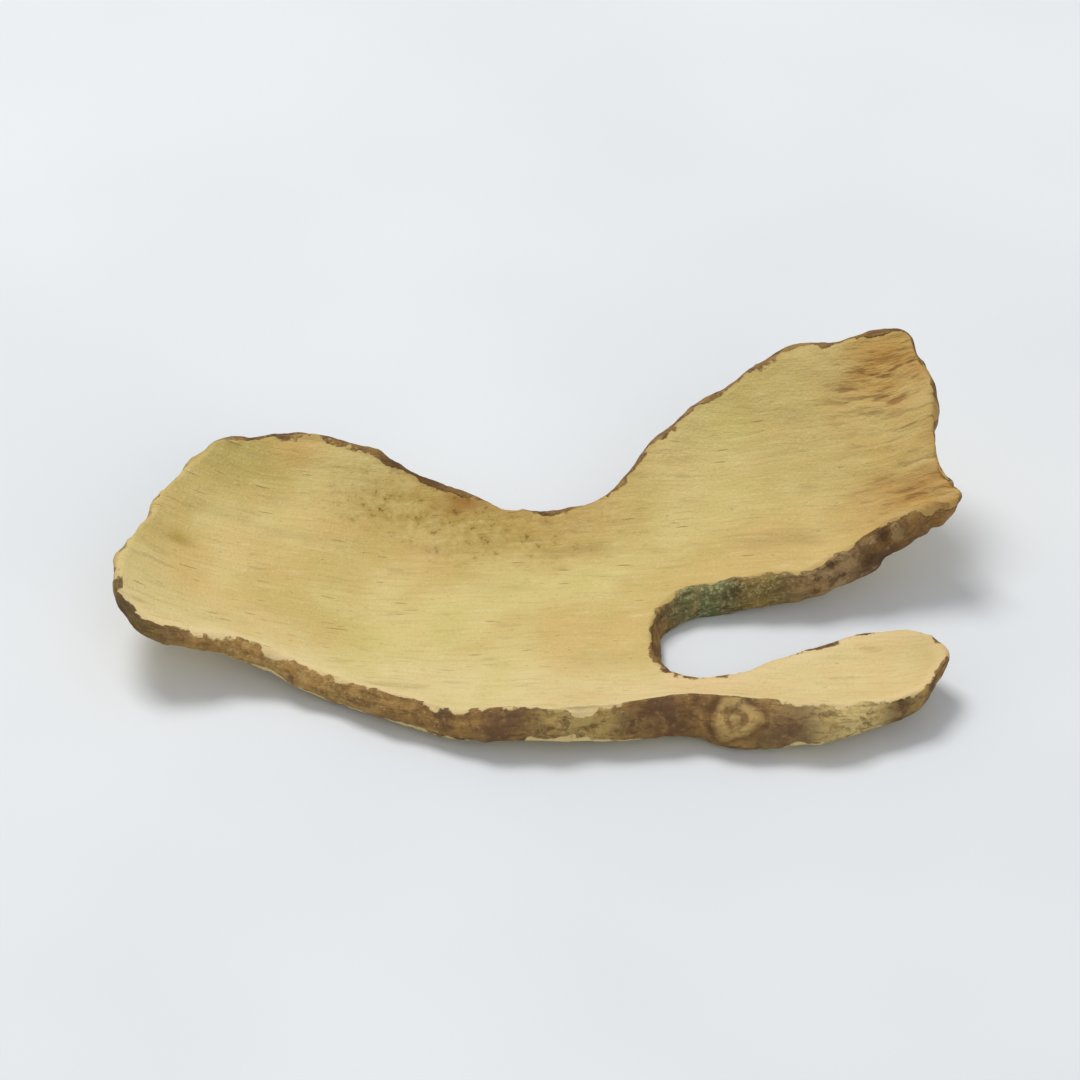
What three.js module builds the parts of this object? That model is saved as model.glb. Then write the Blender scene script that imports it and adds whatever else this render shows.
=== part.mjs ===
// A dried slice of galangal root, cut lengthwise through the root where it forks. Millimetres, +Z up.
// The slice lies on its belly. A rounded lobe curls up on the left, a broad one on the right, and a short
// finger lies in front of the right lobe, past a blunt notch. Pale cut flesh makes the upper and lower
// faces, and the brown bark, ringed by leaf scars and with one bud scar, makes the rim between them.
import * as THREE from 'three';

// Thickness of the slice
const THIN = 2; // at the left end
const THICK = 3.5; // from the fork to the right
const THICKENS = { from: -25, to: 15 }; // where along x the slice grows from thin to thick
const FINGER_TAPER = { by: 1, from: 20, to: 32, side: 6 }; // the finger thins along x, on the near side only
const FLESH_SINK = 0.4; // how far each face has shrunk below the edge of the bark
const SINK_WIDTH = 3.5; // width of the slope from the bark's edge to the sunk flesh

// Drying curled the slice: past `start` it rises as a parabola that is `height` up after `reach`
const CURL = {
  left: { start: 4, reach: 32, height: 7 },
  lobe: { start: 7, reach: 32.5, height: 9.5 },
  far: { start: 6, reach: 16, height: 4.5 },
  near: { start: 1, reach: 12, height: 2.2 },
};
const LOBE_HEADING = new THREE.Vector2(0.78, 0.62); // the way the right lobe points in the plan
const RIPPLE = { height: 0.35, length: 20 }; // shrinkage waves in the faces
const CALM = { x: 2, y: 4, inner: 7, outer: 20 }; // no waves over the belly
const SETTLE = 0.75; // depth of the belly that is flat where the slice rests

// The bark rim
const BARK_BULGE = 0.55; // how far the rim rounds outwards
const RING = { height: 0.28, pitch: 6.5, width: 1.2, drift: 0.3, drifts: 7 }; // leaf scars that cross the rim
const BUD = { x: 17.5, y: -12, height: 1.2, swell: 1.1, radius: 3.4 }; // the bud scar on the near rim
const UNDERCUT = { // how far the rim slants inwards below the ends, and from where to where along x
  left: { by: 1.5, from: -22, to: -36 },
  right: { by: 2.2, from: 24, to: 37 },
};
const RAGGED = { height: 0.1, waves: [17, 31, 53] }; // unevenness of the cut outline, in waves round the rim
const ROUNDING = 2; // passes that round the outline's corners

// The outline seen from above, as open curves of [x, y] points. Each runs from far to near or from left to
// right, and neighbouring curves share their end points.
const OUTLINE = {
  leftEnd: [
    [-27.2, 20], [-30.8, 15.4], [-33.4, 10], [-35.2, 3.4], [-35.8, -0.6], [-34.8, -3.4], [-32.6, -5],
  ],
  farEdge: [
    [-27.2, 20], [-22, 21.6], [-15.5, 20.8], [-9, 19], [-3.5, 15.9], [2, 15.1], [7.5, 16.9],
    [11.5, 21], [17, 23.6], [21, 24.4], [27.5, 24.4], [32.8, 24.2],
  ],
  nearEdge: [
    [-32.6, -5], [-28, -4], [-22, -5], [-16, -8], [-7, -12.5], [0, -13.5], [8, -13],
    [11.5, -12], [14, -12], [17.5, -12.5], [23, -13.5], [27.8, -12.5], [32.2, -11],
  ],
  lobeEnd: [[32.8, 24.2], [34, 21.2], [34.8, 18.5], [34.9, 15], [36, 12.5], [37.4, 9.5]],
  notchUpper: [[10.5, 2.4], [13.5, 4.7], [19.5, 5.3], [26.5, 6], [30, 7.8], [34, 9.3], [37.4, 9.5]],
  notchEnd: [[10.5, 2.4], [9.9, 0.6], [10.1, -2.3], [10.8, -6], [12.8, -8.2]],
  notchLower: [[12.8, -8.2], [16, -7.8], [19.5, -5.8], [23, -4.2], [27, -2.7], [31, -2.4], [34.2, -3.2]],
  fingerEnd: [[34.2, -3.2], [35.3, -6.2], [34.8, -8], [32.2, -11]],
};

// Mesh cells along the body, the lobe and the finger, and across the lobe, the notch's end and the finger
const ALONG = { body: 34, lobe: 26, finger: 16 };
const ACROSS = { lobe: 15, notch: 7, finger: 7 };
const RIM_LEVELS = 6; // steps down the rim, from the upper face to the lower one

const TURN = 2 * Math.PI;
const ramp = (from, to, value) => THREE.MathUtils.smoothstep(value, from, to);
const bell = (distance, width) => Math.exp(-((distance / width) ** 2));

// Evenly spaced points of a smooth curve through an outline's points
function sampled(points, count) {
  const curve = new THREE.CatmullRomCurve3(points.map(([x, y]) => new THREE.Vector3(x, y, 0)));
  return curve.getSpacedPoints(count).map(({ x, y }) => new THREE.Vector2(x, y));
}

const between = (a, b, share) => new THREE.Vector2().lerpVectors(a, b, share);
const straight = (a, b, count) => Array.from({ length: count + 1 }, (_, i) => between(a, b, i / count));

// A grid of points whose four sides are the given rows of points, blended evenly in between
function patch({ left, right, far, near }) {
  const along = far.length - 1;
  const across = left.length - 1;
  return far.map((farPoint, i) => left.map((leftPoint, j) => {
    const [u, v] = [i / along, j / across];
    const corners = between(between(far[0], far[along], u), between(near[0], near[along], u), v);
    return between(farPoint, near[i], v).add(between(leftPoint, right[j], u)).sub(corners);
  }));
}

// The three grids of the plan: the body left of the fork, the lobe behind the notch and the finger before it
function planPatches() {
  const far = sampled(OUTLINE.farEdge, ALONG.body + ALONG.lobe);
  const near = sampled(OUTLINE.nearEdge, ALONG.body + ALONG.finger);
  const notchUpper = sampled(OUTLINE.notchUpper, ALONG.lobe);
  const notchEnd = sampled(OUTLINE.notchEnd, ACROSS.notch);
  const notchLower = sampled(OUTLINE.notchLower, ALONG.finger);
  const lobeRoot = straight(far[ALONG.body], notchUpper[0], ACROSS.lobe);
  const fingerRoot = straight(notchLower[0], near[ALONG.body], ACROSS.finger);
  const fork = [...lobeRoot, ...notchEnd.slice(1), ...fingerRoot.slice(1)];
  return [
    patch({
      left: sampled(OUTLINE.leftEnd, fork.length - 1),
      right: fork,
      far: far.slice(0, ALONG.body + 1),
      near: near.slice(0, ALONG.body + 1),
    }),
    patch({
      left: lobeRoot,
      right: sampled(OUTLINE.lobeEnd, ACROSS.lobe),
      far: far.slice(ALONG.body),
      near: notchUpper,
    }),
    patch({
      left: fingerRoot,
      right: sampled(OUTLINE.fingerEnd, ACROSS.finger),
      far: notchLower,
      near: near.slice(ALONG.body),
    }),
  ];
}

// One flat mesh from the grids: its points, and its cells as four point numbers, anticlockwise from above
function flatMesh(patches) {
  const points = [];
  const cells = [];
  const numbers = new Map();
  const numberOf = (point) => {
    const key = `${point.x.toFixed(3)} ${point.y.toFixed(3)}`;
    if (!numbers.has(key)) {
      numbers.set(key, points.length);
      points.push(point);
    }
    return numbers.get(key);
  };
  for (const grid of patches) {
    const rows = grid.map((row) => row.map(numberOf));
    for (let i = 0; i + 1 < rows.length; i += 1) {
      for (let j = 0; j + 1 < rows[i].length; j += 1) {
        cells.push([rows[i][j], rows[i][j + 1], rows[i + 1][j + 1], rows[i + 1][j]]);
      }
    }
  }
  return { points, cells };
}

// The outline of the flat mesh as point numbers, anticlockwise: the cell edges that no second cell shares
function outlineOf(cells) {
  const edges = cells.flatMap((cell) => cell.map((a, k) => [a, cell[(k + 1) % cell.length]]));
  const seen = new Set(edges.map(([a, b]) => `${a} ${b}`));
  const next = new Map(edges.filter(([a, b]) => !seen.has(`${b} ${a}`)));
  const loop = [next.keys().next().value];
  while (next.get(loop.at(-1)) !== loop[0]) loop.push(next.get(loop.at(-1)));
  return loop;
}

// Each outline point's distance along the rim and its outward direction in the plan
function rimStations(points, loop) {
  let distance = 0;
  return loop.map((number, k) => {
    const before = points[loop.at(k - 1)];
    const after = points[loop[(k + 1) % loop.length]];
    distance += points[number].distanceTo(before);
    const outward = new THREE.Vector2(after.y - before.y, before.x - after.x).normalize();
    return { number, distance, outward };
  });
}

const rise = ({ start, reach, height }, distance) => height * (Math.max(0, distance - start) / reach) ** 2;

// Height of the slice's underside: flat at the belly, curled up at both lobes and along both edges
function curl(x, y) {
  const towardsLobe = LOBE_HEADING.dot({ x, y });
  const edges = rise(CURL.left, -x) + rise(CURL.lobe, towardsLobe) + rise(CURL.far, y) + rise(CURL.near, -y);
  const turns = TURN / RIPPLE.length;
  const waves = Math.sin(turns * (x + y / 2)) * Math.cos(turns * (x / 2 - y));
  const fromBelly = Math.hypot(x - CALM.x, y - CALM.y);
  return edges + RIPPLE.height * waves * ramp(CALM.inner, CALM.outer, fromBelly);
}

// The slice's upward normal at a point of the plan
function upward({ x, y }) {
  const step = 0.05;
  const slopeX = (curl(x + step, y) - curl(x - step, y)) / (2 * step);
  const slopeY = (curl(x, y + step) - curl(x, y - step)) / (2 * step);
  return new THREE.Vector3(-slopeX, -slopeY, 1).normalize();
}

// Thickness at the bark: more to the right, less towards the finger's tip
function barkThickness({ x, y }) {
  const finger = ramp(FINGER_TAPER.from, FINGER_TAPER.to, x) * ramp(0, FINGER_TAPER.side, -y);
  return THIN + (THICK - THIN) * ramp(THICKENS.from, THICKENS.to, x) - FINGER_TAPER.by * finger;
}

const nearBud = ({ x, y }) => bell(Math.hypot(x - BUD.x, y - BUD.y), BUD.radius);

// How far the lower face is drawn in along x below both ends, where the root's own side slanted inwards
function drawnIn({ x }) {
  const { left, right } = UNDERCUT;
  return left.by * ramp(-left.from, -left.to, -x) - right.by * ramp(right.from, right.to, x);
}

// Leaf scars cross the rim at uneven steps, and each lifts the bark in a low ridge
function ringRidge(distance, length) {
  const count = Math.round(length / RING.pitch);
  const share = distance / length;
  const phase = count * share + RING.drift * Math.sin(TURN * RING.drifts * share);
  return bell((phase - Math.round(phase)) * RING.pitch, RING.width);
}

// How far the outline wanders outwards at a distance along the rim
function raggedness(distance, length) {
  const waves = RAGGED.waves.map((count) => Math.sin((TURN * count * distance) / length));
  return RAGGED.height * waves.reduce((sum, wave) => sum + wave, 0);
}

// Moves each outline point halfway to the middle of its neighbours, all at once
function roundCorners(points, loop) {
  const rounded = loop.map((number, k) => {
    const neighbours = between(points[loop.at(k - 1)], points[loop[(k + 1) % loop.length]], 0.5);
    return between(points[number], neighbours, 0.5);
  });
  loop.forEach((number, k) => points[number].copy(rounded[k]));
}

// The closed surface of the slice: the upper face, the bark rim in level steps, and the lower face
function sliceGeometry() {
  const { points, cells } = flatMesh(planPatches());
  const loop = outlineOf(cells);
  for (let pass = 0; pass < ROUNDING; pass += 1) roundCorners(points, loop);
  const smoothRim = rimStations(points, loop);
  for (const { number, distance, outward } of smoothRim) {
    points[number].addScaledVector(outward, raggedness(distance, smoothRim.at(-1).distance));
  }
  const rim = rimStations(points, loop);
  const rimLength = rim.at(-1).distance;
  const fromRim = (point) => Math.min(...rim.map(({ number }) => point.distanceTo(points[number])));

  const upper = [];
  const lower = [];
  for (const point of points) {
    const normal = upward(point);
    const half = barkThickness(point) / 2;
    const sink = FLESH_SINK * ramp(0, SINK_WIDTH, fromRim(point));
    const core = new THREE.Vector3(point.x, point.y, curl(point.x, point.y) + half);
    upper.push(core.clone().addScaledVector(normal, half - sink));
    const inwards = new THREE.Vector3(drawnIn(point), 0, 0).projectOnPlane(normal);
    lower.push(core.clone().addScaledVector(normal, sink - half - BUD.swell * nearBud(point)).add(inwards));
  }

  const vertices = [...upper, ...lower];
  const levels = [loop];
  for (let level = 1; level < RIM_LEVELS; level += 1) {
    const share = level / RIM_LEVELS;
    levels.push(rim.map(({ number, distance, outward }) => {
      const point = points[number];
      const sideways = new THREE.Vector3(outward.x, outward.y, 0).projectOnPlane(upward(point)).normalize();
      const relief = RING.height * ringRidge(distance, rimLength) + BUD.height * nearBud(point);
      const bulge = Math.sin(Math.PI * share) * (BARK_BULGE + relief);
      vertices.push(upper[number].clone().lerp(lower[number], share).addScaledVector(sideways, bulge));
      return vertices.length - 1;
    }));
  }
  levels.push(loop.map((number) => number + upper.length));

  const triangles = [];
  const quad = (a, b, c, d) => triangles.push(a, b, c, a, c, d);
  for (const [a, b, c, d] of cells) {
    quad(a, b, c, d);
    quad(...[d, c, b, a].map((number) => number + upper.length));
  }
  for (let level = 0; level < RIM_LEVELS; level += 1) {
    const [top, bottom] = [levels[level], levels[level + 1]];
    top.forEach((number, k) => {
      const after = (k + 1) % top.length;
      quad(number, bottom[k], bottom[after], top[after]);
    });
  }

  const box = new THREE.Box3().setFromPoints(vertices);
  const middle = box.getCenter(new THREE.Vector3());
  const floor = box.min.z + SETTLE;
  const placed = vertices.map(({ x, y, z }) => (
    new THREE.Vector3(x - middle.x, y - middle.y, Math.max(0, z - floor))
  ));
  const geometry = new THREE.BufferGeometry().setFromPoints(placed).setIndex(triangles);
  geometry.computeVertexNormals();
  return geometry;
}

const driedRoot = new THREE.MeshStandardMaterial({ color: 0xcbb47a, roughness: 0.85, metalness: 0 });
const slice = new THREE.Mesh(sliceGeometry(), driedRoot);
slice.name = 'galangal_slice';

const galangal = new THREE.Group();
galangal.add(slice);

export default galangal;
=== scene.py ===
"""A dried slice of galangal root on a pale studio floor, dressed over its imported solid.

The solid's own surface is split finer and given relief: fibres, cracks and knife waves on the cut faces,
wrinkles, leaf scars and a bud scar on the bark. Attributes on the mesh tell the material what is where.
Lengths here are in millimetres in the frame of the part, and metres only where Blender takes them.
"""
import math
import random

import bmesh
import bpy
import numpy as np
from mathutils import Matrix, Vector, kdtree, noise


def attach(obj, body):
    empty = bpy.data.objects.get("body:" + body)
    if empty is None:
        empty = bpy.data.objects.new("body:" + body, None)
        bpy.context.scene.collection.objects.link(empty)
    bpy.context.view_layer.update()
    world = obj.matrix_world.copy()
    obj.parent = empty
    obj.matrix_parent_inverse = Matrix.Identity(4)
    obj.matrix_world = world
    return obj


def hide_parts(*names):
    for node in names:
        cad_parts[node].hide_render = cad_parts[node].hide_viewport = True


MM = 0.001
NODE = "galangal_slice"

# Camera and light
CAMERA_ELEVATION = math.radians(38)
CAMERA_DISTANCE = 600
CAMERA_TARGET = (0, 0, 7.8)
FRAME_WIDTH = 92  # what the picture spans at the target
FLOOR_SIZE = 4000
SKY_COLOR = (0.95, 0.97, 1.0, 1.0)
SKY_STRENGTH = 0.5
LIGHTS = {  # place, size and watts
    "overhead": ((-220, 260, 720), 320, 3.85),
    "front": ((250, -620, 420), 500, 1.0),
}

# Classes of the surface's faces while it is built
UPPER, LOWER, BARK = 0, 1, 2
SHARP = math.radians(28)  # a turn sharper than this parts the upper cut face from the bark
RIM_STEPS = 6  # rows of the solid's faces down the bark
EDGE_CREASE = 0.9
SPLITS = 2  # halvings of the solid's faces

# Where the root forks, and how its fibres turn there into the right lobe
FORK = (9, -6)
LOBE_TURN = math.radians(-7)

# Marks that show on the upper face and the rim, as middle x, middle y, reach along x and reach along y
MARKS = {
    "saddle": (-4.2, 8.4, 9.0, 4.2),
    "saddle_left": (-12.6, 10.8, 5.0, 2.4),
    "saddle_bark": (-9.0, 12.5, 6.0, 5.0),
    "saddle_rust": (-6.6, 10.4, 2.2, 1.1),
    "far_spot_left": (-12.6, 14.2, 1.3, 1.1),
    "far_spot_right": (-9.4, 12.8, 1.4, 1.1),
    "olive": (-26.0, 13.5, 7.0, 4.0),
    "orange": (-21.4, 14.5, 3.0, 1.4),
    "yellow_dot": (-30.9, 3.0, 0.9, 0.8),
    "left_tip": (-33.7, -8.6, 3.4, 3.6),
    "near_left_rim": (-20.0, -11.0, 13.0, 5.0),
    "near_patch": (-3.2, -19.2, 2.4, 1.8),
    "near_rim": (3.0, -19.2, 4.0, 2.6),
    "bud_left": (10.8, -18.6, 2.6, 2.0),
    "bud_right": (20.9, -19.8, 2.2, 1.8),
    # painted shade: the right lobe is tinted darker, as it tilts away from the light
    "lobe": (21.0, 11.0, 9.0, 7.0),
    "far_corner": (30.5, 15.2, 5.5, 4.0),
    "far_tip": (31.5, 18.6, 3.0, 1.6),
    "near_corner": (33.0, 5.0, 5.2, 3.4),
    "green": (14.0, -1.2, 3.6, 2.4),
    "olive_wall": (19.6, -0.2, 2.8, 2.0),
    "mauve": (24.6, 0.5, 3.0, 2.0),
    "dark_wall": (29.4, 1.9, 2.3, 2.2),
    # painted shade: the wall at the notch's inner end is painted dark brown as the shadow that falls there
    "notch_end": (11.2, -8.4, 2.2, 3.0),
    "finger_rim": (26.5, -18.5, 6.0, 3.5),
    "finger_blotch": (30.3, -17.2, 1.6, 1.6),
    "finger_end": (34.2, -10.6, 3.4, 3.4),
    # painted highlight: the raised neck of the finger is tinted pale pink as the light it catches
    "neck_highlight": (13.5, -14.6, 5.5, 1.8),
}

# How far the bark reaches over the edge of the flesh at some of the marks
BARK_OVER_FLESH = {
    "saddle_bark": 0.3,
    "far_spot_left": 0.8,
    "far_spot_right": 0.8,
    "left_tip": 0.5,
    "near_patch": 0.5,
    "bud_left": 0.7,
    "far_tip": 1.2,
    "dark_wall": 1.2,
    "notch_end": 0.5,
}
WALL_MARKS = ("green", "olive_wall", "mauve")  # of these the strongest counts
WALL_BARK_OVER_FLESH = 0.8

# Marks where the bark is mauve brown, and where it is dark brown; at the notch's end the dark brown is
# painted shade
MAUVE_MARKS = ("bud_left", "bud_right", "near_patch")
DARK_AND_SHADED_MARKS = ("dark_wall", "notch_end", "finger_blotch", "far_tip", "far_spot_left", "far_spot_right")

# The bud scar on the near rim
BUD = (16.3, -19.0, 3.8)
BUD_REACH = 2.2  # how far the relief of its rings reaches
BUD_RING = 1.6  # from one ring of the scar to the next
BUD_BARK_OVER_FLESH = 1.5
BUD_BARK_REACH = 2.6

# Heights of the relief
HEIGHT = {
    "swell": 0.3,
    "torn": 0.35,
    "ragged": 0.4,
    "fibres": 0.06,
    "grain": 0.035,
    "knife": 0.03,
    "pits": 0.14,
    "lip": 0.1,
    "folds": 0.28,
    "wrinkles": 0.13,
    "lumps": 0.22,
    "wall_lumps": 0.2,
    "fine": 0.06,
    "leaf_scars": 0.1,
    "bud": 0.14,
}
KNIFE_WAVE = 2.6  # from one wave of the knife to the next
LEAF_SCAR_STEP = 5.3  # from one leaf scar to the next
FOLDS = {UPPER: 12, LOWER: 14}  # how many drying folds each cut face has
SEED = 11
TIP_THINNING = 1.0  # how much thinner the rim is at the left tip
RESTING = 0.02  # a point of the solid below this lies on the table and stays there


def srgb(red, green, blue):
    """A colour given as pictures give it, 0 to 255, as the linear colour that the shader takes."""
    shares = [value / 255 for value in (red, green, blue)]
    linear = [share / 12.92 if share <= 0.04045 else ((share + 0.055) / 1.055) ** 2.4 for share in shares]
    return (*linear, 1.0)


def smooth(low, high, values):
    """0 below low, 1 above high, and a smooth rise between. It falls instead if low is above high."""
    share = np.clip((values - low) / (high - low), 0, 1)
    return share * share * (3 - 2 * share)


def bell(distance, width):
    return np.exp(-((distance / width) ** 2))


def noise_at(*axes):
    """Smooth noise from -1 to 1 at points whose coordinates are given one array an axis."""
    return np.array([noise.noise(Vector(point)) for point in zip(*axes)])


def flood(start, turn):
    """The faces reached from one face over edges that turn less than this."""
    reached = {start}
    front = [start]
    while front:
        for edge in front.pop().edges:
            for face in edge.link_faces:
                if face not in reached and edge.calc_face_angle(0) < turn:
                    reached.add(face)
                    front.append(face)
    return reached


def rim_steps(upper):
    """Each point of the rim, with how many of the solid's steps it lies below the upper cut face."""
    inside = {point for face in upper for point in face.verts}
    ring = {point for point in inside if any(face not in upper for face in point.link_faces)}
    steps = dict.fromkeys(ring, 0)
    for step in range(1, RIM_STEPS + 1):
        ring = {edge.other_vert(point) for point in ring for edge in point.link_edges} - inside - steps.keys()
        steps.update(dict.fromkeys(ring, step))
    return steps


def classed_quads(source):
    """The solid's surface as a bmesh of quads, each face marked as upper cut, lower cut or bark."""
    bm = bmesh.new()
    bm.from_mesh(source.data)
    bmesh.ops.remove_doubles(bm, verts=bm.verts, dist=0.001 * MM)
    bm.normal_update()
    facing_up = [face for face in bm.faces if face.normal.z > 0.9]
    upper = flood(min(facing_up, key=lambda face: face.calc_center_median().xy.length), SHARP)
    steps = rim_steps(upper)
    for face in bm.faces:
        depths = [steps.get(point, RIM_STEPS) for point in face.verts]
        face.material_index = UPPER if face in upper else BARK if min(depths) < RIM_STEPS else LOWER
    bmesh.ops.join_triangles(
        bm, faces=bm.faces, cmp_materials=True,
        angle_face_threshold=math.pi, angle_shape_threshold=math.pi,
    )
    crease = bm.edges.layers.float.new("crease_edge")
    for edge in bm.edges:
        if len({face.material_index for face in edge.link_faces}) > 1:
            edge[crease] = EDGE_CREASE
    return bm


def split_finer(bm, name):
    """A new object whose mesh is the bmesh split by a subdivision surface."""
    rough = bpy.data.meshes.new(name + "_rough")
    bm.to_mesh(rough)
    bm.free()
    piece = bpy.data.objects.new(name, rough)
    bpy.context.scene.collection.objects.link(piece)
    surface = piece.modifiers.new("split", "SUBSURF")
    surface.levels = surface.render_levels = SPLITS
    seen = piece.evaluated_get(bpy.context.evaluated_depsgraph_get())
    piece.data = bpy.data.meshes.new_from_object(seen)
    piece.modifiers.clear()
    bpy.data.meshes.remove(rough)
    return piece


def distance_to(points, targets):
    """Each point's distance to the nearest target."""
    tree = kdtree.KDTree(len(targets))
    for number, target in enumerate(targets):
        tree.insert(target, number)
    tree.balance()
    return np.array([tree.find(point)[2] for point in points])


class Surface:
    """The fine mesh's points in millimetres, and what lies where on it."""

    def __init__(self, mesh):
        count = len(mesh.vertices)
        places = np.empty(3 * count)
        normals = np.empty(3 * count)
        mesh.vertices.foreach_get("co", places)
        mesh.vertices.foreach_get("normal", normals)
        self.places = places.reshape(-1, 3) / MM
        self.normals = normals.reshape(-1, 3)
        self.x, self.y, self.z = self.places.T

        marks = np.empty(len(mesh.polygons), int)
        corners = np.empty(len(mesh.polygons), int)
        mesh.polygons.foreach_get("material_index", marks)
        mesh.polygons.foreach_get("loop_total", corners)
        corner_points = np.empty(len(mesh.loops), int)
        mesh.loops.foreach_get("vertex_index", corner_points)
        corner_marks = np.repeat(marks, corners)
        meets = {mark: np.zeros(count, bool) for mark in (UPPER, LOWER, BARK)}
        for mark, met in meets.items():
            met[corner_points[corner_marks == mark]] = True
        upper_edge = meets[UPPER] & meets[BARK]
        lower_edge = meets[LOWER] & meets[BARK]

        self.bark = meets[BARK]
        self.upper = meets[UPPER] & ~meets[BARK]
        self.lower = meets[LOWER] & ~meets[BARK]
        self.from_upper_edge = distance_to(self.places, self.places[upper_edge])
        self.from_lower_edge = distance_to(self.places, self.places[lower_edge])
        self.from_edge = np.minimum(self.from_upper_edge, self.from_lower_edge)
        self.along, self.across = fibre_flow(self.x, self.y)

        uneven = 1 + 0.35 * self.lumps(1.8)
        self.from_bud = np.linalg.norm(self.places - np.array(BUD), axis=1) * uneven

    def near_mark(self, middle_x, middle_y, reach_x, reach_y):
        """1 at the middle of a mark, fading outwards, and 0 on the lower face."""
        away = np.hypot((self.x - middle_x) / reach_x, (self.y - middle_y) / reach_y)
        return bell(away, 1) * ~self.lower

    def lumps(self, size, shift=0.0):
        """Smooth noise from -1 to 1 with lumps of about this size. Another shift gives other lumps."""
        return noise_at(self.x / size, self.y / size, self.z / size + shift)


def fibre_flow(x, y):
    """Distances along and across the fibres, which run along the root and turn into the lobe at the fork."""
    turn = LOBE_TURN * smooth(-4, 24, x) * smooth(-10, 0, y)
    beyond_x = x - FORK[0]
    beyond_y = y - FORK[1]
    along = beyond_x * np.cos(turn) + beyond_y * np.sin(turn)
    across = beyond_y * np.cos(turn) - beyond_x * np.sin(turn)
    return along, across


def fold_depth(surface, face, draw):
    """How deep, 0 to 1, each point lies in one of a seeded scatter of drying folds along the fibres."""
    on_face = surface.upper if face == UPPER else surface.lower
    inside = np.flatnonzero(on_face & (surface.from_edge > 2))
    wander = 0.9 * noise_at(surface.along / 5, surface.across / 5, np.full(len(surface.x), 3.0 * face))
    depth = np.zeros(len(surface.x))
    for _ in range(FOLDS[face]):
        middle = draw.choice(inside)
        half_length = draw.uniform(2, 6)
        width = draw.uniform(0.35, 0.8)
        strength = draw.uniform(0.3, 1)
        ahead = np.abs(surface.along - surface.along[middle]) / half_length
        aside = surface.across - surface.across[middle] + wander - wander[middle]
        depth = np.maximum(depth, strength * bell(aside, width) * smooth(1, 0.3, ahead) * on_face)
    return depth


def torn_end(surface, marks):
    """1 where the right lobe's end is torn, which is most of all at its two corners."""
    uneven = surface.lumps(2.5)
    strip = 0.75 * smooth(31.5, 35.5, surface.x + 1.5 * uneven) * smooth(0, 3, surface.y)
    corners = (0.95 * marks["far_corner"] + 0.85 * marks["near_corner"]) * (0.95 + 0.35 * uneven)
    return np.clip(np.maximum(strip, corners), 0, 1)


def ring_scars(surface):
    """Leaf scars on the bark: up to 1 on each thin, broken ring line that crosses the rim."""
    wander = 1.6 * noise_at(surface.x / 5, surface.y / 5, surface.z / 2)
    phase = (surface.along + 0.35 * surface.across + wander) / LEAF_SCAR_STEP
    broken = smooth(-0.3, 0.4, noise_at(surface.x / 3, surface.y / 3, surface.z / 1.5 + 4))
    return bell(phase - np.round(phase), 0.045) * broken


def relief(surface, marks, folds, end):
    """How far each point moves out along its normal."""
    x, y, z, along, across = surface.x, surface.y, surface.z, surface.along, surface.across
    swell = HEIGHT["swell"] * surface.lumps(7, 5)
    torn = HEIGHT["torn"] * end * noise_at(along / 3, across / 0.9, z / 3)
    torn += HEIGHT["ragged"] * marks["near_corner"] * surface.lumps(1.2, 2)

    fibres = HEIGHT["fibres"] * noise_at(along / 8, across / 1.1, z / 6)
    grain = HEIGHT["grain"] * surface.lumps(0.8)
    knife_phase = 2 * math.pi * (0.35 * along + 0.94 * across) / KNIFE_WAVE + 2.5 * surface.lumps(9)
    knife = HEIGHT["knife"] * np.sin(knife_phase) * smooth(-0.2, 0.4, noise_at(x / 9 + 7, y / 9, z / 9))
    pits = HEIGHT["pits"] * marks["saddle"] * smooth(0.1, 0.5, noise_at(x / 0.9, y / 0.9, z + 9))
    lip = HEIGHT["lip"] * bell(surface.from_edge, 0.7) * (1 + surface.lumps(1.3))
    flesh = swell + fibres + grain + knife + torn - pits + lip - HEIGHT["folds"] * folds

    wrinkles = HEIGHT["wrinkles"] * noise_at(along / 4, across / 4, surface.from_upper_edge / 0.55)
    rough_wall = marks["mauve"] + marks["dark_wall"]
    lumps = (HEIGHT["lumps"] + HEIGHT["wall_lumps"] * rough_wall) * surface.lumps(1.9)
    fine = HEIGHT["fine"] * surface.lumps(0.6)
    leaf_scars = HEIGHT["leaf_scars"] * ring_scars(surface)
    rings = np.cos(2 * math.pi * surface.from_bud / BUD_RING)
    bud = HEIGHT["bud"] * rings * bell(surface.from_bud, BUD_REACH)
    bark = swell + wrinkles + lumps + fine + leaf_scars + bud + torn
    return np.where(surface.bark, bark, flesh)


def tip_lift(surface):
    """How far each point rises to thin the rim at the left tip: fully on the lower face, not on the upper."""
    above = surface.from_upper_edge
    share_down = np.where(surface.bark, above / (above + surface.from_lower_edge), surface.lower)
    return TIP_THINNING * share_down * smooth(-25, -30, surface.x) * smooth(6, -2, surface.y)


def past_edge(surface, marks, end, pale_end):
    """Distance past the line where flesh and bark meet, above 0 on the bark, as the marks move that line."""
    from_flesh = np.where(surface.bark, surface.from_edge, -surface.from_edge)
    bark_over_flesh = sum(reach * marks[name] for name, reach in BARK_OVER_FLESH.items())
    bark_over_flesh += BUD_BARK_OVER_FLESH * bell(surface.from_bud, BUD_BARK_REACH)
    bark_over_flesh += WALL_BARK_OVER_FLESH * np.maximum.reduce([marks[name] for name in WALL_MARKS])
    worn_below = surface.from_lower_edge < surface.from_upper_edge
    flesh_over_bark = 0.5 * pale_end + 0.7 * end + 0.7 * marks["near_rim"]
    flesh_over_bark += 0.4 * marks["near_left_rim"] * worn_below
    return from_flesh + bark_over_flesh - flesh_over_bark


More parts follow.
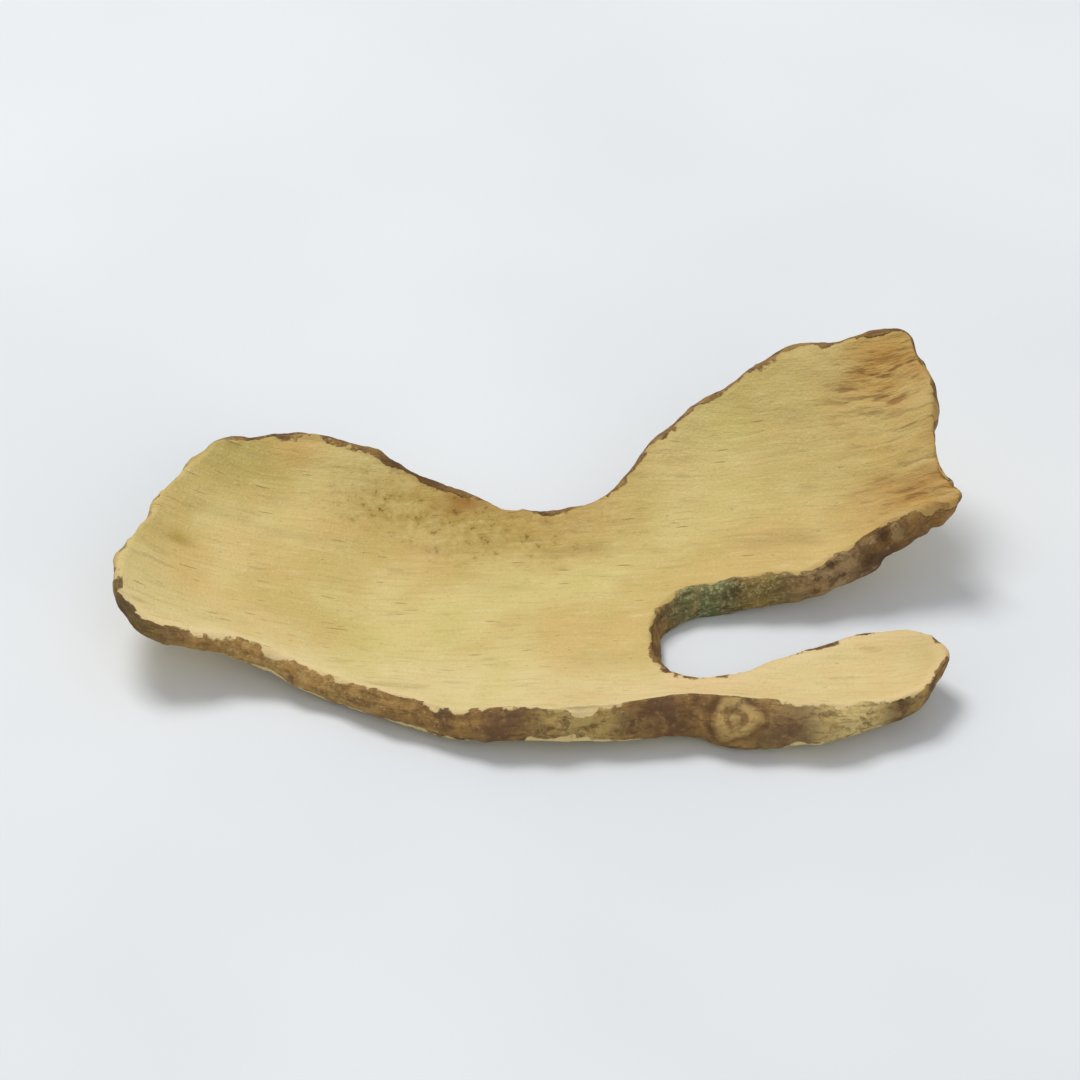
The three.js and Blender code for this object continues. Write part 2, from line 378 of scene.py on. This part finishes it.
def what_is_where(surface, marks, folds, end):
    """What the material reads from the mesh: a name and each point's value."""
    near_strip = smooth(-7, -14, surface.y + 0.12 * surface.x)
    finger = smooth(10, 16, surface.x) * smooth(-4, -7, surface.y)
    pale_end = smooth(-25, -31, surface.x) * smooth(-8, -4, surface.y) * ~surface.lower
    return {
        **marks,
        "edge": past_edge(surface, marks, end, pale_end),
        "level": surface.from_upper_edge,
        "along": surface.along,
        "across": surface.across,
        "fold": folds,
        "end": end,
        "pale_end": pale_end,
        "mauve_bark": sum(marks[name] for name in MAUVE_MARKS),
        "dark_bark_and_shade": sum(marks[name] for name in DARK_AND_SHADED_MARKS),
        "ring": ring_scars(surface),
        "bud": surface.from_bud,
        "cream": np.clip(near_strip + finger, 0, 1),
    }


def dress(piece):
    """Gives the fine mesh its relief, and the attributes that the material reads."""
    mesh = piece.data
    surface = Surface(mesh)
    draw = random.Random(SEED)
    marks = {name: surface.near_mark(*mark) for name, mark in MARKS.items()}
    folds = np.maximum(fold_depth(surface, UPPER, draw), fold_depth(surface, LOWER, draw))
    end = torn_end(surface, marks)

    moved = surface.places + surface.normals * relief(surface, marks, folds, end)[:, None]
    moved[:, 2] += tip_lift(surface)
    resting = surface.z < RESTING
    moved[resting, 2] = surface.z[resting]
    moved[:, 2] = np.maximum(moved[:, 2], 0)
    mesh.vertices.foreach_set("co", (moved * MM).ravel())

    for name, values in what_is_where(surface, marks, folds, end).items():
        column = mesh.attributes.new(name, "FLOAT", "POINT")
        column.data.foreach_set("value", values.astype(np.float32))
    mesh.polygons.foreach_set("material_index", np.zeros(len(mesh.polygons), int))
    mesh.polygons.foreach_set("use_smooth", np.ones(len(mesh.polygons), bool))
    mesh.update()


class Shader:
    """Short ways to add nodes to one material. Each returns the socket that holds its result."""

    def __init__(self, name):
        self.material = bpy.data.materials.new(name)
        self.material.use_nodes = True
        self.tree = self.material.node_tree
        self.surface = self.tree.nodes["Principled BSDF"]

    def node(self, kind, inputs, **settings):
        made = self.tree.nodes.new(kind)
        for name, value in settings.items():
            setattr(made, name, value)
        for name, value in inputs.items():
            self.feed(made.inputs[name], value)
        return made

    def feed(self, socket, value):
        if isinstance(value, bpy.types.NodeSocket):
            self.tree.links.new(value, socket)
        else:
            socket.default_value = value

    def read(self, name):
        return self.node("ShaderNodeAttribute", {}, attribute_name=name).outputs["Fac"]

    def place(self):
        coordinates = self.node("ShaderNodeTexCoord", {}).outputs["Object"]
        scaled = self.node("ShaderNodeVectorMath", {0: coordinates, "Scale": 1 / MM}, operation="SCALE")
        return scaled.outputs["Vector"]

    def vector(self, x, y, z=0.0):
        return self.node("ShaderNodeCombineXYZ", {0: x, 1: y, 2: z}).outputs[0]

    def math(self, operation, first, second=0.0):
        return self.node("ShaderNodeMath", {0: first, 1: second}, operation=operation).outputs[0]

    def times(self, first, second):
        return self.math("MULTIPLY", first, second)

    def plus(self, first, second):
        return self.math("ADD", first, second)

    def rise(self, value, low, high, start=0.0, stop=1.0):
        """From start below low to stop above high, smoothly."""
        inputs = {"Value": value, "From Min": low, "From Max": high, "To Min": start, "To Max": stop}
        return self.node("ShaderNodeMapRange", inputs, interpolation_type="SMOOTHSTEP").outputs["Result"]

    def noise(self, vector, scale, detail=4.0, roughness=0.55, distortion=0.0):
        inputs = {"Vector": vector, "Scale": scale, "Detail": detail, "Roughness": roughness,
                  "Distortion": distortion}
        return self.node("ShaderNodeTexNoise", inputs).outputs[0]

    def stretch(self, vector, x, y, z=1.0):
        return self.node("ShaderNodeVectorMath", {0: vector, 1: (x, y, z)}, operation="MULTIPLY").outputs[0]

    def tint(self, color, share, target):
        """A colour moved by a share towards a target colour."""
        return self.node("ShaderNodeMix", {0: share, 6: color, 7: target}, data_type="RGBA").outputs[2]

    def stain(self, color, mark, share, target):
        """A colour moved towards a target colour by a share of what the mesh holds under a mark's name."""
        return self.tint(color, self.times(self.read(mark), share), target)

    def blend(self, share, first, second):
        return self.node("ShaderNodeMix", {0: share, 2: first, 3: second}, data_type="FLOAT").outputs[0]

    def finish(self, color, roughness, height):
        bump = self.node("ShaderNodeBump", {"Height": height, "Strength": 1.0, "Distance": MM})
        self.feed(self.surface.inputs["Base Color"], color)
        self.feed(self.surface.inputs["Roughness"], roughness)
        self.feed(self.surface.inputs["Normal"], bump.outputs["Normal"])
        return self.material


def flesh_tone(shader, place):
    """Colour of the cut faces, before fibres, stains and edges, with painted shade on the right lobe and a
    painted highlight on the finger's neck.
    """
    mottle = shader.noise(place, 0.12, 2)
    color = shader.tint(srgb(210, 190, 124), shader.rise(mottle, 0.4, 0.66), srgb(200, 175, 106))
    color = shader.stain(color, "cream", 0.7, srgb(222, 202, 146))
    color = shader.stain(color, "olive", 0.5, srgb(172, 158, 84))
    # painted shade: the right lobe is darkened as if tilted away from the light
    color = shader.stain(color, "lobe", 0.35, srgb(186, 162, 94))
    # painted highlight: the finger's raised neck is tinted pale pink
    color = shader.stain(color, "neck_highlight", 0.4, srgb(224, 190, 146))
    warmth = shader.noise(place, 0.09, 3, 0.6)
    color = shader.tint(color, shader.rise(warmth, 0.52, 0.66, 0, 0.4), srgb(214, 178, 116))
    return shader.tint(color, shader.rise(warmth, 0.46, 0.34, 0, 0.4), srgb(198, 186, 108))


def fibre_look(shader, color, fibre):
    """A colour with threads, streaks, cracks and fibre ends over it, and their height."""
    threads = shader.noise(shader.stretch(fibre, 0.26, 2.3), 1.0, 4, 0.62, 0.4)
    color = shader.tint(color, shader.rise(threads, 0.5, 0.74, 0, 0.28), srgb(164, 136, 80))
    color = shader.tint(color, shader.rise(threads, 0.46, 0.26, 0, 0.28), srgb(230, 216, 166))
    streaks = shader.noise(shader.stretch(fibre, 0.2, 0.9), 1.0, 2)
    color = shader.tint(color, shader.rise(streaks, 0.6, 0.74, 0, 0.3), srgb(156, 134, 88))
    cracks = shader.rise(shader.noise(shader.stretch(fibre, 0.32, 3.4), 1.0, 1), 0.7, 0.8)
    color = shader.tint(color, shader.times(cracks, 0.38), srgb(128, 98, 58))

    bundles = shader.node("ShaderNodeTexVoronoi", {"Vector": shader.stretch(fibre, 0.8, 1.9), "Scale": 1.0})
    chosen = shader.node("ShaderNodeSeparateColor", {0: bundles.outputs["Color"]}).outputs[0]
    dots = shader.times(shader.rise(bundles.outputs["Distance"], 0.2, 0.08), shader.rise(chosen, 0.72, 0.8))
    color = shader.tint(color, shader.times(dots, 0.3), srgb(136, 104, 60))
    height = shader.plus(shader.times(threads, 0.12), shader.times(cracks, -0.07))
    return color, height


def flesh_stains(shader, color, place):
    """A colour with the upper face's stains over it, of which the saddle's are speckled."""
    specks = shader.noise(place, 1.1, 3, 0.7)
    saddle = shader.plus(shader.read("saddle"), shader.times(shader.read("saddle_left"), 0.8))
    stained = shader.times(saddle, shader.rise(specks, 0.3, 0.66, 0.3, 0.75))
    color = shader.tint(color, stained, srgb(158, 126, 50))
    pits = shader.times(saddle, shader.rise(specks, 0.6, 0.7, 0, 0.7))
    color = shader.tint(color, pits, srgb(96, 68, 26))
    color = shader.stain(color, "saddle_rust", 0.8, srgb(150, 104, 42))
    color = shader.stain(color, "finger_end", 0.7, srgb(196, 168, 106))
    color = shader.stain(color, "yellow_dot", 0.6, srgb(172, 146, 58))
    return shader.stain(color, "orange", 0.45, srgb(206, 156, 92))


def torn_look(shader, color, fibre):
    """A colour with the torn end's clots and shreds over it, and the shreds' height."""
    clots = shader.noise(shader.stretch(fibre, 0.2, 0.7), 1.0, 3, 0.6)
    color = shader.stain(color, "end", shader.rise(clots, 0.35, 0.6, 0.45, 0.95), srgb(178, 128, 60))
    shreds = shader.noise(shader.stretch(fibre, 0.3, 1.9), 1.0, 3, 0.6)
    color = shader.stain(color, "end", shader.rise(shreds, 0.52, 0.64, 0, 0.85), srgb(112, 72, 28))
    color = shader.stain(color, "end", shader.rise(shreds, 0.44, 0.32, 0, 0.6), srgb(220, 182, 108))
    color = shader.stain(color, "near_corner", 0.15, srgb(140, 98, 46))
    height = shader.times(shader.times(shreds, shader.read("end")), -0.5)
    return color, height


def edge_lines(shader, color):
    """A colour with a pale line along the near upper edge, a painted highlight, and a dark one where flesh
    meets bark.
    """
    edge = shader.read("edge")
    near_side = shader.read("cream")
    at_upper_edge = shader.rise(shader.read("level"), 1.8, 1.0)
    # painted highlight: a pale line along the near upper edge, where the rounded edge catches the light
    painted_edge_highlight = shader.times(shader.times(near_side, at_upper_edge), shader.rise(edge, -1.6, -0.5, 0, 0.3))
    color = shader.tint(color, painted_edge_highlight, srgb(236, 206, 158))
    dark_line = shader.times(shader.rise(near_side, 0, 1, 0.5, 0.15), shader.rise(edge, -0.5, 0.0))
    return shader.tint(color, dark_line, srgb(170, 136, 80))


def flesh_look(shader, place, fibre, powder):
    """Colour and height in millimetres of the cut faces."""
    color, fibre_height = fibre_look(shader, flesh_tone(shader, place), fibre)
    color = shader.tint(color, shader.rise(powder, 0.55, 0.75, 0, 0.25), srgb(236, 222, 178))
    color = shader.tint(color, shader.rise(powder, 0.42, 0.28, 0, 0.22), srgb(160, 130, 76))
    color, shred_height = torn_look(shader, flesh_stains(shader, color, place), fibre)
    # painted shade: the sunken drying folds are tinted darker
    color = shader.stain(edge_lines(shader, color), "fold", 0.3, srgb(150, 120, 70))
    height = shader.plus(shader.plus(fibre_height, shader.times(powder, 0.08)), shred_height)
    return color, height


def bark_tone(shader, place, flecks):
    """Colour of the bark along the rim, before the notch's wall, wrinkles and dark spots."""
    patches = shader.noise(place, 0.4, 3, 0.6)
    color = shader.tint(srgb(160, 122, 64), shader.rise(patches, 0.38, 0.64), srgb(102, 70, 36))
    color = shader.tint(color, shader.rise(patches, 0.56, 0.7, 0, 0.5), srgb(118, 92, 66))
    color = shader.stain(color, "near_left_rim", 0.7, srgb(174, 136, 72))
    color = shader.stain(color, "near_left_rim", shader.rise(flecks, 0.5, 0.62, 0, 0.7), srgb(196, 162, 104))
    color = shader.stain(color, "near_rim", shader.rise(flecks, 0.4, 0.54, 0.3, 0.8), srgb(196, 172, 104))
    color = shader.stain(color, "finger_rim", shader.rise(flecks, 0.36, 0.52, 0.4, 0.9), srgb(222, 198, 130))
    color = shader.stain(color, "pale_end", 0.75, srgb(190, 166, 112))
    return shader.stain(color, "end", 0.7, srgb(152, 112, 58))


def wall_tone(shader, color, flecks, grain):
    """A colour with the notch's far wall over it: green, olive and mauve, with frost on the first two."""
    color = shader.stain(color, "green", shader.rise(flecks, 0.34, 0.48, 0.5, 0.95), srgb(94, 112, 70))
    color = shader.stain(color, "olive_wall", 0.7, srgb(142, 122, 54))
    color = shader.stain(color, "mauve", 0.75, srgb(172, 142, 100))
    frosted = shader.plus(shader.read("green"), shader.read("olive_wall"))
    frost = shader.times(frosted, shader.rise(grain, 0.5, 0.62, 0, 0.7))
    return shader.tint(color, frost, srgb(180, 178, 132))


def bark_spots(shader, color, flecks):
    """A colour with the bark's mauve and dark spots over it, and painted shade at the notch's end."""
    color = shader.stain(color, "mauve_bark", shader.rise(flecks, 0.34, 0.56, 0.35, 0.85), srgb(100, 70, 46))
    # dark brown spots of the bark, and at the notch's end painted shade
    color = shader.stain(color, "dark_bark_and_shade", shader.rise(flecks, 0.36, 0.6, 0.4, 0.85), srgb(86, 54, 22))
    color = shader.stain(color, "left_tip", 0.85, srgb(80, 64, 32))
    return shader.stain(color, "saddle_bark", 0.6, srgb(96, 66, 30))


def wall_lumps(shader, color, place):
    """A colour with the lumps of the notch's far wall over it, their tops painted lighter as highlight and
    the gaps between painted darker as shade, and their height.
    """
    lumpy = shader.plus(shader.read("mauve"), shader.read("dark_wall"))
    lumps = shader.noise(place, 0.75, 3, 0.6)
    # painted highlight on the raised lump tops, and painted shade in the gaps between them
    highlit_tops = shader.times(lumpy, shader.rise(lumps, 0.5, 0.62, 0, 0.6))
    color = shader.tint(color, highlit_tops, srgb(188, 158, 112))
    shaded_gaps = shader.times(lumpy, shader.rise(lumps, 0.46, 0.36, 0, 0.7))
    color = shader.tint(color, shaded_gaps, srgb(70, 46, 22))
    return color, shader.times(shader.times(lumps, lumpy), 0.6)


def bud_scar(shader, color, flecks, grain):
    """A colour with the pale bud scar over it, and broken dark rings where its relief is low."""
    bud = shader.read("bud")
    scar = shader.times(shader.rise(bud, 2.2, 1.4), shader.rise(flecks, 0.36, 0.56, 0.25, 0.75))
    color = shader.tint(color, scar, srgb(196, 164, 100))
    rings = shader.math("COSINE", shader.times(bud, 2 * math.pi / BUD_RING))
    hollows = shader.times(shader.rise(rings, 0.0, -0.8), shader.rise(bud, 2.9, 2.3))
    broken = shader.times(hollows, shader.rise(grain, 0.34, 0.58, 0.2, 0.65))
    return shader.tint(color, broken, srgb(92, 60, 30))


def bark_look(shader, place):
    """Colour and height in millimetres of the bark rim."""
    parts = shader.node("ShaderNodeSeparateXYZ", {0: place})
    along_x = shader.times(parts.outputs[0], 0.5)
    along_y = shader.times(parts.outputs[1], 0.5)
    down = shader.times(shader.read("level"), 1.6)
    wrinkles = shader.noise(shader.vector(along_x, along_y, down), 1.0, 5, 0.66, 0.6)
    grain = shader.noise(place, 2.8, 5, 0.7)
    flecks = shader.noise(place, 1.5, 2, 0.6)

    color = wall_tone(shader, bark_tone(shader, place, flecks), flecks, grain)
    color = shader.tint(color, shader.rise(wrinkles, 0.5, 0.64, 0, 0.6), srgb(78, 52, 24))
    color = shader.tint(color, shader.rise(wrinkles, 0.44, 0.3, 0, 0.5), srgb(192, 160, 94))
    color = shader.tint(color, shader.rise(grain, 0.54, 0.68, 0, 0.5), srgb(200, 170, 108))
    color = shader.tint(color, shader.rise(grain, 0.44, 0.3, 0, 0.5), srgb(84, 56, 26))
    color = shader.stain(color, "ring", 0.45, srgb(186, 150, 88))
    color, lump_height = wall_lumps(shader, bark_spots(shader, color, flecks), place)
    color = bud_scar(shader, color, flecks, grain)
    height = shader.plus(shader.times(wrinkles, 0.3), shader.times(grain, 0.14))
    return color, shader.plus(height, lump_height)


def dried_root():
    """The whole slice's material: flesh and bark, parted along an uneven line."""
    shader = Shader("dried_root")
    place = shader.place()
    fibre = shader.vector(shader.read("along"), shader.read("across"))
    powder = shader.noise(place, 4.0, 2, 0.6)
    flesh, flesh_height = flesh_look(shader, place, fibre, powder)
    bark, bark_height = bark_look(shader, place)
    uneven = shader.rise(shader.noise(place, 0.5, 4, 0.55), 0.3, 0.7, -0.5, 0.5)
    is_bark = shader.rise(shader.plus(shader.read("edge"), uneven), -0.12, 0.12)
    color = shader.tint(flesh, is_bark, bark)
    height = shader.blend(is_bark, flesh_height, bark_height)
    roughness = shader.plus(shader.blend(is_bark, 0.86, 0.74), shader.rise(powder, 0.3, 0.7, -0.06, 0.06))
    shader.surface.inputs["Specular IOR Level"].default_value = 0.32
    return shader.finish(color, roughness, height)


def pale_floor():
    """A matt, off-white table top with a barely uneven tone."""
    shader = Shader("pale_floor")
    tone = shader.noise(shader.place(), 0.02, 2)
    color = shader.tint(srgb(226, 228, 229), shader.rise(tone, 0.3, 0.7), srgb(220, 223, 225))
    shader.feed(shader.surface.inputs["Base Color"], color)
    shader.surface.inputs["Roughness"].default_value = 0.75
    shader.surface.inputs["Specular IOR Level"].default_value = 0.2
    return shader.material


def add_floor():
    half = FLOOR_SIZE * MM / 2
    mesh = bpy.data.meshes.new("floor")
    corners = [(-half, -half, 0), (half, -half, 0), (half, half, 0), (-half, half, 0)]
    mesh.from_pydata(corners, [], [(0, 1, 2, 3)])
    mesh.materials.append(pale_floor())
    floor = bpy.data.objects.new("floor", mesh)
    bpy.context.scene.collection.objects.link(floor)


def aim(thing, place, target):
    thing.location = Vector(place) * MM
    thing.rotation_euler = (Vector(target) - Vector(place)).to_track_quat("-Z", "Y").to_euler()


def add_camera():
    data = bpy.data.cameras.new("camera")
    data.sensor_fit = "HORIZONTAL"
    data.angle = 2 * math.atan(FRAME_WIDTH / 2 / CAMERA_DISTANCE)
    data.clip_start = 10 * MM
    camera = bpy.data.objects.new("camera", data)
    bpy.context.scene.collection.objects.link(camera)
    back = Vector((0, -math.cos(CAMERA_ELEVATION), math.sin(CAMERA_ELEVATION)))
    aim(camera, Vector(CAMERA_TARGET) + back * CAMERA_DISTANCE, CAMERA_TARGET)
    bpy.context.scene.camera = camera


def add_light(name, place, size, watts):
    data = bpy.data.lights.new(name, "AREA")
    data.shape = "SQUARE"
    data.size = size * MM
    data.energy = watts
    light = bpy.data.objects.new(name, data)
    bpy.context.scene.collection.objects.link(light)
    aim(light, place, (0, 0, 0))


def add_sky():
    world = bpy.data.worlds.new("studio")
    bpy.context.scene.world = world
    world.use_nodes = True
    background = world.node_tree.nodes["Background"]
    background.inputs["Color"].default_value = SKY_COLOR
    background.inputs["Strength"].default_value = SKY_STRENGTH


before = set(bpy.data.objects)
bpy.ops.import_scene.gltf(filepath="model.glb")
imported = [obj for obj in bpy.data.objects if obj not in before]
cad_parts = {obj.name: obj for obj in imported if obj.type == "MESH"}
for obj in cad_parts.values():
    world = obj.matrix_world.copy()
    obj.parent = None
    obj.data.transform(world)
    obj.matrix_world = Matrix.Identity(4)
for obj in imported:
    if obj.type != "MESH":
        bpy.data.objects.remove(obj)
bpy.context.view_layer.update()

add_camera()
add_floor()
add_sky()
for light_name, light in LIGHTS.items():
    add_light(light_name, *light)
bpy.context.scene.view_settings.view_transform = "Standard"

slice_piece = split_finer(classed_quads(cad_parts[NODE]), "root_slice")
dress(slice_piece)
slice_piece.data.materials.clear()
slice_piece.data.materials.append(dried_root())
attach(slice_piece, "root")
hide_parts(NODE)
